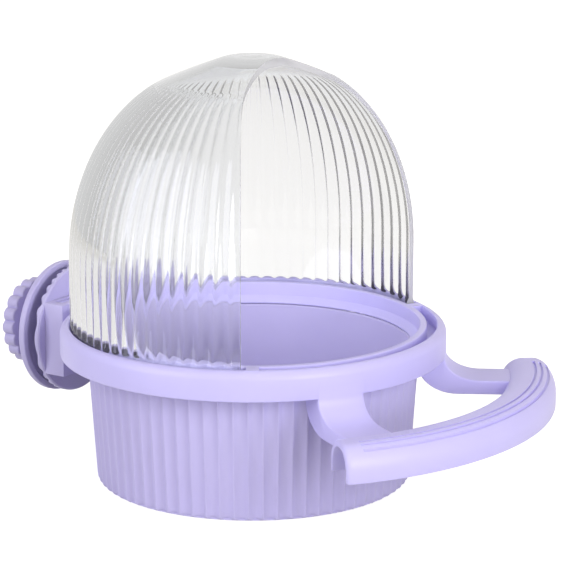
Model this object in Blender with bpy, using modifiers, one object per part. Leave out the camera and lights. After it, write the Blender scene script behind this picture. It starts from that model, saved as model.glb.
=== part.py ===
"""Clamp-on birdcage feeder: a fluted seed cup in a ring that carries a perch, a fluted clear hood
with one arched mouth, and a wire clamp that the ring drops into.

Lengths are in metres. The origin lies on the clamp bolt's axis, in the plane of the grooved
clamping face. +Z is up, +Y runs back along the bolt, and the perch points towards -Y.
"""
from math import acos, atan2, cos, hypot, pi, radians, sin, sqrt, tan

import bmesh
import bpy
from mathutils import Matrix, Vector

# Running gap between two pieces that touch or slide
FIT_GAP = 0.0003
# How far a shape reaches into the one it is joined to
JOIN = 0.0008

# Seed cup
CUP_TOP_RADIUS = 0.0450
CUP_TAPER = 0.0023
CUP_HEIGHT = 0.0367
CUP_WALL = 0.0024
CUP_FLOOR = 0.0022
CUP_BASE_ROUNDING = 0.0013
CUP_INNER_ROUNDING = 0.0040
CUP_FLUTES = 72
CUP_FLUTE_DEPTH = 0.0009
CUP_FLUTE_FADE = 0.0004

# Ring round the cup, with the groove that the hood stands in
LIP_WALL = 0.0019
BAND_WALL = 0.0025
BAND_ROUNDING = 0.0024
RING_FLANGE = 0.0020
GROOVE_DEPTH = 0.0036
SKIRT_WALL = 0.0020
SKIRT_DROP = 0.0023
RING_STEPS = 96

# Hood
HOOD_FOOT_WALL = 0.0022
HOOD_WALL = 0.0015
HOOD_CROWN_WALL = 0.0025
HOOD_CROWN_REACH = 0.0070
HOOD_STRAIGHT = 0.0210
HOOD_SHOULDER_REACH = 0.0394
HOOD_SHOULDER_RISE = 0.0513
HOOD_SHOULDER_TURN = radians(67.6)
HOOD_ROOF_RADIUS = 0.2194
HOOD_ROOF_START = radians(66)
HOOD_ROOF_END = radians(70.5)
HOOD_CROWN_RADIUS = 0.0120
HOOD_FLUTES = 80
HOOD_FLUTE_DEPTH = 0.00055
HOOD_FLUTE_TOP_RADIUS = 0.0250
HOOD_FLUTE_FADE = 0.0050
HOOD_FLUTE_FOOT = 0.0012
HOOD_APEX_DISC = 0.0028
HOOD_APEX_DISC_HEIGHT = 0.00015
MOUTH_TIP_REACH = 0.0070
MOUTH_TIP_RADIUS = 0.0500
MOUTH_SLOPE = radians(33.5)
LUG_WIDTH = 0.0034
LUG_CLEARANCE = 0.0012

# Perch and the two straps that carry it
PERCH_REACH = 0.0160
PERCH_WIDTH = 0.0137
PERCH_DEPTH = 0.0091
PERCH_DROP = 0.0042
PERCH_WALL = 0.0016
PERCH_ROUNDING = 0.0056
PERCH_HALF_ANGLE = radians(39.6)
PERCH_END_ROUNDING = 0.0012
GRIP_LINES = 3
GRIP_LINE_WIDTH = 0.0006
GRIP_LINE_DEPTH = 0.0006
GRIP_LINE_PITCH = 0.0017
GRIP_LINE_START = 0.0013
GRIP_END = radians(3.5)
ARM_ANGLE = radians(30.3)
ARM_WIDTH = 0.0130
ARM_THICKNESS = 0.0038
ARM_TOP_DROP = 0.0019
ARM_UPPER_RUN = 0.0098
ARM_LOWER_RUN = 0.0107
ARM_ROOT_DROP = 0.0017

# Socket that the ring's tongue drops into
SOCKET_WIDTH = 0.0302
SOCKET_HEIGHT = 0.0205
SOCKET_DEPTH = 0.0063
SOCKET_SIDE_WALL = 0.0028
SOCKET_FRONT_WALL = 0.0022
SOCKET_FLOOR = 0.0020
SOCKET_STAND_OFF = 0.0014
TONGUE_HEAD_DEPTH = 0.0021
NECK_WIDTH = 0.0100

# Clamping plate, with upright grooves that grip the cage wires
PLATE_RADIUS = 0.0180
PLATE_THICKNESS = 0.0019
WIRE_GROOVES = 16
WIRE_GROOVE_PITCH = 0.0023
WIRE_GROOVE_MOUTH = 0.0018
WIRE_GROOVE_BED = 0.0006
WIRE_GROOVE_DEPTH = 0.0010

# Carriage bolt
BOLT_RADIUS = 0.0030
BOLT_HEAD_RADIUS = 0.0065
BOLT_HEAD_HEIGHT = 0.0013
BOLT_REACH = 0.0158
BOLT_CHAMFER = 0.0005

# Dish that bears on the cage wires
JAW_GAP = 0.0030
DISH_RADIUS = 0.0185
DISH_RIM_WIDTH = 0.0020
DISH_RIM_DEPTH = 0.0021
DISH_RECESS = 0.0014
DISH_WEB = 0.0017

# Knob with its nut
KNOB_RADIUS = 0.0122
KNOB_THICKNESS = 0.0038
KNOB_LOBES = 18
KNOB_LOBE_RADIUS = 0.0021
KNOB_CHAMFER = 0.0005
HUB_RADIUS = 0.0076
HUB_LENGTH = 0.0059
HUB_RIBS = 6
HUB_RIB_HEIGHT = 0.0014
HUB_RIB_WIDTH = 0.0014
NUT_ACROSS_FLATS = 0.0100
NUT_THICKNESS = 0.0040
NUT_LEDGE = 0.0013

# Radii that follow from the cup's, from the inside outwards
CUP_BASE_RADIUS = CUP_TOP_RADIUS - CUP_TAPER
LIP_INNER = CUP_TOP_RADIUS
GROOVE_INNER = LIP_INNER + LIP_WALL
HOOD_RADIUS = GROOVE_INNER + FIT_GAP + HOOD_FOOT_WALL
GROOVE_OUTER = HOOD_RADIUS + FIT_GAP
BAND_RADIUS = GROOVE_OUTER + BAND_WALL
LEDGE_INNER = CUP_TOP_RADIUS - CUP_WALL + FIT_GAP

# Ring heights above the underside of the cup
FLANGE_BOTTOM = CUP_HEIGHT + FIT_GAP
GROOVE_FLOOR = FLANGE_BOTTOM + RING_FLANGE
BAND_TOP = GROOVE_FLOOR + GROOVE_DEPTH
BAND_BOTTOM = FLANGE_BOTTOM - SKIRT_DROP
HOOD_FOOT = GROOVE_FLOOR + FIT_GAP
HOOD_SPRING = HOOD_FOOT + HOOD_STRAIGHT

# Middle of the mouth's rounded tip, and the angle at which the mouth meets the hood's skin
MOUTH_CENTRE = MOUTH_TIP_REACH + MOUTH_TIP_RADIUS
MOUTH_PASS = MOUTH_CENTRE * cos(MOUTH_SLOPE) - MOUTH_TIP_RADIUS
MOUTH_EDGE_ANGLE = acos(MOUTH_PASS / HOOD_RADIUS) - MOUTH_SLOPE

PERCH_INNER = BAND_RADIUS + PERCH_REACH
PERCH_OUTER = PERCH_INNER + PERCH_WIDTH
PERCH_TOP = BAND_BOTTOM - PERCH_DROP

# Clamp places, as distances behind the cup's axis
SOCKET_FRONT = BAND_RADIUS + SOCKET_STAND_OFF
PLATE_FRONT = SOCKET_FRONT + SOCKET_DEPTH
CLAMP_FACE = PLATE_FRONT + PLATE_THICKNESS
CLAMP_HEIGHT = BAND_TOP - SOCKET_HEIGHT / 2

# Clamp places, as distances behind the clamping face
HEAD_SLOT_FRONT = SOCKET_FRONT + SOCKET_FRONT_WALL - CLAMP_FACE
HEAD_SLOT_BACK = HEAD_SLOT_FRONT + TONGUE_HEAD_DEPTH + 2 * FIT_GAP
DISH_WEB_FRONT = JAW_GAP + DISH_RECESS
DISH_BACK = DISH_WEB_FRONT + DISH_WEB
HUB_FRONT = DISH_BACK + FIT_GAP
KNOB_FRONT = HUB_FRONT + HUB_LENGTH
POCKET_FLOOR = HUB_FRONT + NUT_LEDGE

# Steps of the curved shapes
CLAMP_STEPS = 48
BORE_STEPS = 32
DISC_STEPS = 16
PERCH_STEPS = 28
PERCH_EDGE_STEPS = 5
SHOULDER_STEPS = 8
ROOF_STEPS = 3
MOUTH_STEPS = 12
BEND_STEPS = 6
BAND_EDGE_STEPS = 4
EDGE_STEPS = 3
INNER_EDGE_STEPS = 2

SHARP_ANGLE = radians(30)
MERGE_DISTANCE = 0.00001

PLASTIC = (0.633, 0.584, 0.930)
CUP_PLASTIC = (0.560, 0.500, 0.870)


def clear_scene():
    for thing in list(bpy.data.objects):
        bpy.data.objects.remove(thing, do_unlink=True)


def new_collection(name):
    collection = bpy.data.collections.new(name)
    bpy.context.scene.collection.children.link(collection)
    return collection


def make_material(name, colour, roughness, metallic=0.0, alpha=1.0):
    material = bpy.data.materials.new(name)
    material.use_nodes = True
    shader = material.node_tree.nodes["Principled BSDF"]
    shader.inputs["Base Color"].default_value = (*colour, 1.0)
    shader.inputs["Roughness"].default_value = roughness
    shader.inputs["Metallic"].default_value = metallic
    shader.inputs["Alpha"].default_value = alpha
    return material


def place(name, mesh, parent, collection):
    thing = bpy.data.objects.new(name, mesh)
    thing.parent = parent
    collection.objects.link(thing)
    return thing


def add_part(name, mesh, parent, material):
    mesh.materials.clear()
    mesh.materials.append(material)
    mesh.shade_smooth()
    mesh.set_sharp_from_angle(angle=SHARP_ANGLE)
    return place(name, mesh, parent, PARTS)


def combine(target, mesh, operation, label):
    """Join a mesh to a part, or cut it out, in the part's own frame."""
    tool = place(target.name + "_" + label, mesh, target.parent, CUTTERS)
    tool.hide_render = True
    tool.display_type = "WIRE"
    boolean = target.modifiers.new(label, "BOOLEAN")
    boolean.operation = operation
    boolean.solver = "EXACT"
    boolean.object = tool


def mesh_from(bm, name):
    bmesh.ops.recalc_face_normals(bm, faces=bm.faces)
    mesh = bpy.data.meshes.new(name)
    bm.to_mesh(mesh)
    bm.free()
    return mesh


def turned(name, profile, steps):
    """Turn a profile of (radius, height) points about Z, closed unless it starts on the axis."""
    edges = [(i, i + 1) for i in range(len(profile) - 1)]
    if profile[0][0] > 0.0:
        edges.append((len(profile) - 1, 0))
    mesh = bpy.data.meshes.new(name + "_profile")
    mesh.from_pydata([(radius, 0.0, height) for radius, height in profile], edges, [])
    blank = place(name + "_blank", mesh, None, CUTTERS)
    screw = blank.modifiers.new("turn", "SCREW")
    screw.axis = "Z"
    screw.steps = steps
    screw.render_steps = steps
    screw.use_merge_vertices = True
    screw.merge_threshold = MERGE_DISTANCE
    bpy.context.view_layer.update()
    evaluated = blank.evaluated_get(bpy.context.evaluated_depsgraph_get())
    bm = bmesh.new()
    bm.from_mesh(evaluated.to_mesh())
    bpy.data.objects.remove(blank, do_unlink=True)
    return mesh_from(bm, name)


def outline_solid(name, points, sweep):
    """Extrude a flat outline of 3-D points along a vector."""
    bm = bmesh.new()
    face = bm.faces.new([bm.verts.new(point) for point in points])
    grown = bmesh.ops.extrude_face_region(bm, geom=[face])
    tip = [item for item in grown["geom"] if isinstance(item, bmesh.types.BMVert)]
    bmesh.ops.translate(bm, verts=tip, vec=Vector(sweep))
    return mesh_from(bm, name)


def arc_solid(name, sections):
    """Sweep a closed profile of (radius, height) points about Z through a list of angles."""
    bm = bmesh.new()
    rows = []
    for turn, profile in sections:
        rows.append([bm.verts.new((r * cos(turn), r * sin(turn), z)) for r, z in profile])
    count = len(rows[0])
    for near, far in zip(rows, rows[1:]):
        for i in range(count):
            j = (i + 1) % count
            bm.faces.new((near[i], near[j], far[j], far[i]))
    bm.faces.new(rows[0])
    bm.faces.new(rows[-1])
    return mesh_from(bm, name)


def box_solid(name, low, high):
    bm = bmesh.new()
    bmesh.ops.create_cube(bm, size=1.0)
    size = Vector(high) - Vector(low)
    centre = (Vector(high) + Vector(low)) / 2
    bmesh.ops.scale(bm, vec=size, verts=bm.verts)
    bmesh.ops.translate(bm, vec=centre, verts=bm.verts)
    return mesh_from(bm, name)


def cylinder_solid(name, radius, low, high, steps, first=0.0):
    """Upright cylinder or prism between two heights, with its first corner at an angle."""
    bm = bmesh.new()
    bmesh.ops.create_cone(bm, cap_ends=True, segments=steps, radius1=radius, radius2=radius,
                          depth=high - low, matrix=Matrix.Rotation(first, 4, "Z"))
    bmesh.ops.translate(bm, vec=(0, 0, (low + high) / 2), verts=bm.verts)
    return mesh_from(bm, name)


def arc_points(centre, radii, start, end, steps):
    """Points along an arc or an ellipse's arc, both ends included, angles from +X to +Z."""
    angles = [start + (end - start) * i / steps for i in range(steps + 1)]
    return [(centre[0] + radii[0] * cos(a), centre[1] + radii[1] * sin(a)) for a in angles]


def arc_from(point, radius, start, end, steps):
    """Arc of a circle that starts at a point."""
    centre = (point[0] - radius * cos(start), point[1] - radius * sin(start))
    return arc_points(centre, (radius, radius), start, end, steps)


def even_sections(profile, start, end, steps):
    """The same profile at even steps between two angles."""
    return [(start + (end - start) * step / steps, profile) for step in range(steps + 1)]


def flute(mesh, count, depth, first, share):
    """Pull every second column of a turned mesh inwards, by a share that depends on its place."""
    for vertex in mesh.vertices:
        radius = hypot(vertex.co.x, vertex.co.y)
        column = round(atan2(vertex.co.y, vertex.co.x) * count / pi)
        if radius > depth and (column + first) % 2:
            factor = 1 - depth * share(radius, vertex.co.z) / radius
            vertex.co.x *= factor
            vertex.co.y *= factor


def build_seed_cup(axis):
    corner = (CUP_BASE_RADIUS - CUP_BASE_ROUNDING, CUP_BASE_ROUNDING)
    rounding = (CUP_BASE_ROUNDING, CUP_BASE_ROUNDING)
    outside = [(CUP_TOP_RADIUS, CUP_HEIGHT)]
    outside += arc_points(corner, rounding, 0.0, -pi / 2, EDGE_STEPS)
    outside += [(0.0, 0.0)]
    mesh = turned("seed_cup", [(0.0, CUP_HEIGHT)] + outside, 2 * CUP_FLUTES)

    def share(radius, height):
        return min(1.0, height / CUP_FLUTE_FADE) if radius > corner[0] else 0.0

    flute(mesh, CUP_FLUTES, CUP_FLUTE_DEPTH, 1, share)
    cup = add_part("seed_cup", mesh, axis, make_material("cup_plastic", CUP_PLASTIC, 0.38))
    inner_corner = (CUP_BASE_RADIUS - CUP_WALL - CUP_INNER_ROUNDING, CUP_FLOOR + CUP_INNER_ROUNDING)
    hollow = [(0.0, CUP_HEIGHT + JOIN), (CUP_TOP_RADIUS - CUP_WALL, CUP_HEIGHT + JOIN)]
    hollow += [(CUP_TOP_RADIUS - CUP_WALL, CUP_HEIGHT)]
    hollow += arc_points(inner_corner, (CUP_INNER_ROUNDING, CUP_INNER_ROUNDING), 0.0, -pi / 2,
                         EDGE_STEPS)
    hollow += [(0.0, CUP_FLOOR)]
    combine(cup, turned("cup_hollow", hollow, CUP_FLUTES), "DIFFERENCE", "hollow")


def ring_profile():
    """Section of the ring, from the top of the band down its outer side."""
    crown = (BAND_RADIUS - BAND_ROUNDING, BAND_TOP - BAND_ROUNDING)
    points = [(GROOVE_OUTER, BAND_TOP)]
    points += arc_points(crown, (BAND_ROUNDING, BAND_ROUNDING), pi / 2, 0.0, BAND_EDGE_STEPS)
    points += [(BAND_RADIUS, BAND_BOTTOM), (BAND_RADIUS - SKIRT_WALL, BAND_BOTTOM)]
    points += [(BAND_RADIUS - SKIRT_WALL, FLANGE_BOTTOM), (LEDGE_INNER, FLANGE_BOTTOM)]
    points += [(LEDGE_INNER, FLANGE_BOTTOM + FIT_GAP), (LIP_INNER, GROOVE_FLOOR)]
    points += [(LIP_INNER, BAND_TOP), (GROOVE_INNER, BAND_TOP)]
    points += [(GROOVE_INNER, GROOVE_FLOOR), (GROOVE_OUTER, GROOVE_FLOOR)]
    return points


def lug_mesh(side):
    """Bridge across the groove that stops the hood's leg, on one side of the mouth."""
    edge = MOUTH_EDGE_ANGLE - LUG_CLEARANCE / HOOD_RADIUS
    section = [(LIP_INNER + JOIN, BAND_TOP), (GROOVE_OUTER + JOIN, BAND_TOP)]
    section += [(GROOVE_OUTER + JOIN, GROOVE_FLOOR - JOIN), (LIP_INNER + JOIN, GROOVE_FLOOR - JOIN)]
    return arc_solid("lug", even_sections(section, side * edge, side * (edge - LUG_WIDTH / HOOD_RADIUS),
                                          INNER_EDGE_STEPS))


def arm_mesh(side):
    """Strap from under the band out to the perch: two elliptical bends, then level."""
    top = PERCH_TOP - ARM_TOP_DROP
    bottom = top - ARM_THICKNESS
    root = BAND_BOTTOM - ARM_ROOT_DROP
    inner = CUP_TOP_RADIUS - CUP_WALL
    upper = arc_points((BAND_RADIUS + ARM_UPPER_RUN, BAND_BOTTOM),
                       (ARM_UPPER_RUN, BAND_BOTTOM - top), pi, 1.5 * pi, BEND_STEPS)
    lower = arc_points((CUP_TOP_RADIUS + ARM_LOWER_RUN, root),
                       (ARM_LOWER_RUN, root - bottom), 1.5 * pi, pi, BEND_STEPS)
    end = PERCH_INNER + PERCH_WALL - FIT_GAP
    outline = [(inner, FLANGE_BOTTOM + JOIN), (BAND_RADIUS - JOIN / 2, FLANGE_BOTTOM + JOIN)]
    outline += [(BAND_RADIUS - JOIN / 2, BAND_BOTTOM + JOIN / 2)]
    outline += upper + [(end, top), (end, bottom)] + lower + [(inner, root)]
    points = [Vector((r, -ARM_WIDTH / 2, z)) for r, z in outline]
    mesh = outline_solid("arm", points, (0, ARM_WIDTH, 0))
    mesh.transform(Matrix.Rotation(side * ARM_ANGLE, 4, "Z"))
    return mesh


def perch_section(inset):
    """Inverted channel, with its outer skin drawn in by a distance."""
    bottom = PERCH_TOP - PERCH_DEPTH
    corner = (PERCH_ROUNDING - inset, PERCH_ROUNDING - inset)
    outer = (PERCH_OUTER - PERCH_ROUNDING, PERCH_TOP - PERCH_ROUNDING)
    inner = (PERCH_INNER + PERCH_ROUNDING, PERCH_TOP - PERCH_ROUNDING)
    section = [(PERCH_INNER + inset, bottom)]
    section += arc_points(inner, corner, pi, pi / 2, PERCH_EDGE_STEPS)
    section += arc_points(outer, corner, pi / 2, 0.0, PERCH_EDGE_STEPS)
    section += [(PERCH_OUTER - inset, bottom), (PERCH_OUTER - PERCH_WALL, bottom)]
    hollow = PERCH_ROUNDING - PERCH_WALL / 2
    section += arc_points((PERCH_OUTER - PERCH_WALL - hollow, PERCH_TOP - PERCH_WALL - hollow),
                          (hollow, hollow), 0.0, pi / 2, EDGE_STEPS)
    section += arc_points((PERCH_INNER + PERCH_WALL + hollow, PERCH_TOP - PERCH_WALL - hollow),
                          (hollow, hollow), pi / 2, pi, EDGE_STEPS)
    section += [(PERCH_INNER + PERCH_WALL, bottom)]
    return section


def perch_mesh():
    """Perch bent round the cup's axis, with rounded outer edges at both ends."""
    rounded = arc_points((PERCH_END_ROUNDING, PERCH_END_ROUNDING),
                         (PERCH_END_ROUNDING, PERCH_END_ROUNDING), pi, 1.5 * pi, EDGE_STEPS)
    ends = [(PERCH_HALF_ANGLE - along / PERCH_OUTER, inset) for along, inset in rounded]
    near = [(-turn, perch_section(inset)) for turn, inset in ends]
    far = [(turn, perch_section(inset)) for turn, inset in reversed(ends)]
    reach = ends[-1][0]
    middle = even_sections(perch_section(0.0), -reach, reach, PERCH_STEPS)
    return arc_solid("perch", near[:-1] + middle + far[1:])


def crown_height(offset):
    """Height of the perch's skin at a distance outwards from the middle of its top."""
    beyond = max(0.0, offset - PERCH_WIDTH / 2 + PERCH_ROUNDING)
    return PERCH_TOP - PERCH_ROUNDING + sqrt(PERCH_ROUNDING ** 2 - beyond ** 2)


def grip_line_mesh(index):
    """Shallow groove along the perch, on the outer half of its rounded top."""
    offset = GRIP_LINE_START + index * GRIP_LINE_PITCH
    middle = PERCH_INNER + PERCH_WIDTH / 2 + offset
    half = GRIP_LINE_WIDTH / 2
    bed = crown_height(offset) - GRIP_LINE_DEPTH
    section = [(middle - half, bed), (middle - half, PERCH_TOP + JOIN)]
    section += [(middle + half, PERCH_TOP + JOIN), (middle + half, bed)]
    reach = PERCH_HALF_ANGLE - GRIP_END
    return arc_solid("grip_line", even_sections(section, -reach, reach, PERCH_STEPS))


def tongue_meshes():
    """Tee behind the band: a web, and the head that runs in the socket."""
    low = BAND_TOP - SOCKET_HEIGHT + SOCKET_FLOOR + FIT_GAP
    head_front = SOCKET_FRONT + SOCKET_FRONT_WALL + FIT_GAP
    head_back = head_front + TONGUE_HEAD_DEPTH
    half_neck = NECK_WIDTH / 2
    inner = CUP_TOP_RADIUS - CUP_WALL
    band_middle = GROOVE_OUTER + BAND_WALL / 2
    outline = [(inner, low), (inner, FLANGE_BOTTOM + JOIN), (band_middle, FLANGE_BOTTOM + JOIN)]
    outline += [(band_middle, BAND_TOP - BAND_ROUNDING), (BAND_RADIUS, BAND_TOP)]
    outline += [(head_front + JOIN, BAND_TOP), (head_front + JOIN, low)]
    web = outline_solid("neck", [(-r, -half_neck, z) for r, z in outline], (0, NECK_WIDTH, 0))
    half_head = SOCKET_WIDTH / 2 - SOCKET_SIDE_WALL - FIT_GAP
    head = box_solid("tongue_head", (-head_back, -half_head, low), (-head_front, half_head, BAND_TOP))
    return web, head


def cup_clearance_mesh():
    """Room for the cup under the ring, cut out of the straps and the web."""
    profile = [(0.0, FLANGE_BOTTOM), (CUP_TOP_RADIUS + FIT_GAP, FLANGE_BOTTOM)]
    profile += [(CUP_BASE_RADIUS + FIT_GAP, CUP_BASE_ROUNDING), (0.0, 0.0)]
    return turned("cup_room", profile, RING_STEPS)


def build_perch_ring(axis):
    mesh = turned("perch_ring", ring_profile(), RING_STEPS)
    ring = add_part("perch_ring", mesh, axis, make_material("ring_plastic", PLASTIC, 0.36))
    web, head = tongue_meshes()
    combine(ring, web, "UNION", "neck")
    combine(ring, head, "UNION", "tongue_head")
    for side, label in ((-1, "left"), (1, "right")):
        combine(ring, arm_mesh(side), "UNION", "arm_" + label)
        combine(ring, lug_mesh(side), "UNION", "lug_" + label)
    combine(ring, perch_mesh(), "UNION", "perch")
    combine(ring, cup_clearance_mesh(), "DIFFERENCE", "cup_room")
    for index in range(GRIP_LINES):
        combine(ring, grip_line_mesh(index), "DIFFERENCE", "grip_%d" % index)


def hood_outside():
    """Section of the hood's skin, from its apex down to its foot."""
    shoulder = arc_points((HOOD_RADIUS - HOOD_SHOULDER_REACH, HOOD_SPRING),
                          (HOOD_SHOULDER_REACH, HOOD_SHOULDER_RISE), HOOD_SHOULDER_TURN, 0.0,
                          SHOULDER_STEPS)
    roof = arc_from(shoulder[0], HOOD_ROOF_RADIUS, HOOD_ROOF_START, HOOD_ROOF_END, ROOF_STEPS)
    crown = arc_from(roof[-1], HOOD_CROWN_RADIUS, HOOD_ROOF_END, pi / 2, EDGE_STEPS)
    points = [(0.0, crown[-1][1])] + crown[::-1] + roof[-2::-1] + shoulder[1:]
    points += [(HOOD_RADIUS, BAND_TOP + HOOD_FLUTE_FOOT), (HOOD_RADIUS, BAND_TOP)]
    return points + [(HOOD_RADIUS, HOOD_FOOT), (0.0, HOOD_FOOT)]


def hood_inside(top):
    """Section of the room in the hood: thick crown, thin sides, and a foot that fills the groove."""
    inner = HOOD_RADIUS - HOOD_WALL
    foot = HOOD_RADIUS - HOOD_FOOT_WALL
    points = [(0.0, top - HOOD_CROWN_WALL), (HOOD_CROWN_REACH, top - HOOD_CROWN_WALL)]
    points += arc_points((HOOD_RADIUS - HOOD_SHOULDER_REACH, HOOD_SPRING),
                         (HOOD_SHOULDER_REACH - HOOD_WALL, HOOD_SHOULDER_RISE - HOOD_WALL),
                         HOOD_SHOULDER_TURN, 0.0, SHOULDER_STEPS)
    points += [(inner, BAND_TOP + inner - foot), (foot, BAND_TOP)]
    return points + [(foot, HOOD_FOOT - JOIN), (0.0, HOOD_FOOT - JOIN)]


def mouth_mesh(top):
    """Plan of the mouth: a wide wedge with a rounded tip, taken through the hood."""
    plan = arc_points((MOUTH_CENTRE, 0.0), (MOUTH_TIP_RADIUS, MOUTH_TIP_RADIUS), pi - MOUTH_SLOPE,
                      pi + MOUTH_SLOPE, MOUTH_STEPS)
    far = HOOD_RADIUS + 2 * HOOD_WALL
    forward = plan[0][0] + (far - plan[0][1]) * tan(MOUTH_SLOPE)
    plan += [(forward, -far), (2 * far, -far), (2 * far, far), (forward, far)]
    low = HOOD_FOOT - JOIN
    return outline_solid("mouth", [(x, y, low) for x, y in plan], (0, 0, top + 2 * JOIN - low))


def build_hood(axis):
    outside = hood_outside()
    top = outside[0][1]
    mesh = turned("hood", outside, 2 * HOOD_FLUTES)

    def share(radius, height):
        if height < BAND_TOP + HOOD_FLUTE_FOOT / 2:
            return 0.0
        return min(1.0, max(0.0, (radius - HOOD_FLUTE_TOP_RADIUS) / HOOD_FLUTE_FADE))

    flute(mesh, HOOD_FLUTES, HOOD_FLUTE_DEPTH, 0, share)
    clear = make_material("clear_plastic", (0.93, 0.94, 0.97), 0.08, alpha=0.35)
    hood = add_part("hood", mesh, axis, clear)
    combine(hood, turned("hood_hollow", hood_inside(top), HOOD_FLUTES), "DIFFERENCE", "hollow")
    combine(hood, mouth_mesh(top), "DIFFERENCE", "mouth")
    disc = cylinder_solid("apex", HOOD_APEX_DISC, top - HOOD_WALL / 2,
                          top + HOOD_APEX_DISC_HEIGHT, DISC_STEPS)
    combine(hood, disc, "UNION", "apex_disc")


def wire_grooves_mesh():
    """Upright grooves in the clamping face, the same number on both sides of the bolt."""
    bm = bmesh.new()
    reach = PLATE_RADIUS + JOIN
    top = WIRE_GROOVE_MOUTH / 2
    bed = WIRE_GROOVE_BED / 2
    for index in range(WIRE_GROOVES):
        middle = (index - (WIRE_GROOVES - 1) / 2) * WIRE_GROOVE_PITCH
        corners = ((middle - top, 0.0), (middle - top, JOIN), (middle + top, JOIN), (middle + top, 0.0),
                   (middle + bed, -WIRE_GROOVE_DEPTH), (middle - bed, -WIRE_GROOVE_DEPTH))
        face = bm.faces.new([bm.verts.new((x, -reach, z)) for x, z in corners])
        grown = bmesh.ops.extrude_face_region(bm, geom=[face])
        tip = [item for item in grown["geom"] if isinstance(item, bmesh.types.BMVert)]
        bmesh.ops.translate(bm, verts=tip, vec=(0.0, 2 * reach, 0.0))
    return mesh_from(bm, "wire_grooves")


def build_mount_plate(clamp):
    """Clamping plate with its socket. In the clamp's frame +Z runs back and -Y is up."""
    half_width = SOCKET_WIDTH / 2
    half_height = SOCKET_HEIGHT / 2
    block = box_solid("socket", (-half_width, -half_height, SOCKET_FRONT - CLAMP_FACE),
                      (half_width, half_height, -PLATE_THICKNESS / 2))
    mesh = cylinder_solid("mount_plate", PLATE_RADIUS, -PLATE_THICKNESS, 0.0, CLAMP_STEPS)
    plate = add_part("mount_plate", mesh, clamp, make_material("plate_plastic", PLASTIC, 0.4))
    combine(plate, block, "UNION", "socket")
    floor = half_height - SOCKET_FLOOR
    half_head = half_width - SOCKET_SIDE_WALL
    slot = box_solid("slot", (-half_head, -half_height - JOIN, HEAD_SLOT_FRONT),
                     (half_head, floor, HEAD_SLOT_BACK))
    half_neck = NECK_WIDTH / 2 + FIT_GAP
    gate = box_solid("gate", (-half_neck, -half_height - JOIN, SOCKET_FRONT - CLAMP_FACE - JOIN),
                     (half_neck, floor, HEAD_SLOT_FRONT + FIT_GAP))
    combine(plate, slot, "DIFFERENCE", "slot")
    combine(plate, gate, "DIFFERENCE", "gate")
    pocket = cylinder_solid("pocket", BOLT_HEAD_RADIUS + FIT_GAP, HEAD_SLOT_BACK - FIT_GAP,
                            HEAD_SLOT_BACK + BOLT_HEAD_HEIGHT + FIT_GAP, BORE_STEPS)
    combine(plate, pocket, "DIFFERENCE", "bolt_pocket")
    half_square = BOLT_RADIUS + FIT_GAP
    square = box_solid("square", (-half_square, -half_square, HEAD_SLOT_BACK),
                       (half_square, half_square, JOIN))
    combine(plate, square, "DIFFERENCE", "bolt_square")
    combine(plate, wire_grooves_mesh(), "DIFFERENCE", "wire_grooves")


def build_clamp_bolt(clamp):
    head_back = HEAD_SLOT_BACK + BOLT_HEAD_HEIGHT
    domed = BOLT_HEAD_HEIGHT / 2
    profile = [(0.0, BOLT_REACH), (BOLT_RADIUS - BOLT_CHAMFER, BOLT_REACH)]
    profile += [(BOLT_RADIUS, BOLT_REACH - BOLT_CHAMFER), (BOLT_RADIUS, head_back)]
    profile += [(BOLT_HEAD_RADIUS, head_back), (BOLT_HEAD_RADIUS, HEAD_SLOT_BACK + domed)]
    profile += [(BOLT_HEAD_RADIUS - 2 * domed, HEAD_SLOT_BACK), (0.0, HEAD_SLOT_BACK)]
    mesh = turned("clamp_bolt", profile, BORE_STEPS)
    steel = make_material("zinc_plated_steel", (0.62, 0.62, 0.63), 0.32, metallic=1.0)
    bolt = add_part("clamp_bolt", mesh, clamp, steel)
    neck = box_solid("neck", (-BOLT_RADIUS, -BOLT_RADIUS, head_back - domed),
                     (BOLT_RADIUS, BOLT_RADIUS, -FIT_GAP))
    combine(bolt, neck, "UNION", "square_neck")


def build_clamp_dish(clamp):
    rim_back = JAW_GAP + DISH_RIM_DEPTH
    rounding = DISH_RIM_DEPTH / 3
    bore = BOLT_RADIUS + FIT_GAP
    rim_inner = DISH_RADIUS - DISH_RIM_WIDTH
    profile = [(bore, DISH_BACK), (rim_inner - DISH_RECESS, DISH_BACK)]
    profile += arc_points((DISH_RADIUS - rounding, rim_back - rounding), (rounding, rounding),
                          pi / 2, 0.0, EDGE_STEPS)
    profile += arc_points((DISH_RADIUS - rounding / 2, JAW_GAP + rounding / 2),
                          (rounding / 2, rounding / 2), 0.0, -pi / 2, INNER_EDGE_STEPS)
    profile += [(rim_inner, JAW_GAP), (rim_inner - DISH_RECESS / 2, DISH_WEB_FRONT)]
    profile += [(bore, DISH_WEB_FRONT)]
    mesh = turned("clamp_dish", profile, CLAMP_STEPS)
    add_part("clamp_dish", mesh, clamp, make_material("dish_plastic", PLASTIC, 0.4))


def lobed_outline(inset):
    """Scalloped outline of the knob: rounded lobes that meet in creases."""
    lobe = KNOB_LOBE_RADIUS
    middle = KNOB_RADIUS - lobe
    points = []
    for step in range(KNOB_LOBES * BEND_STEPS):
        turn = 2 * pi * step / (KNOB_LOBES * BEND_STEPS)
        off = turn - 2 * pi / KNOB_LOBES * round(turn * KNOB_LOBES / (2 * pi))
        reach = middle * cos(off) + sqrt(max(0.0, lobe ** 2 - (middle * sin(off)) ** 2)) - inset
        points.append((reach * cos(turn), reach * sin(turn)))
    return points


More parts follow.
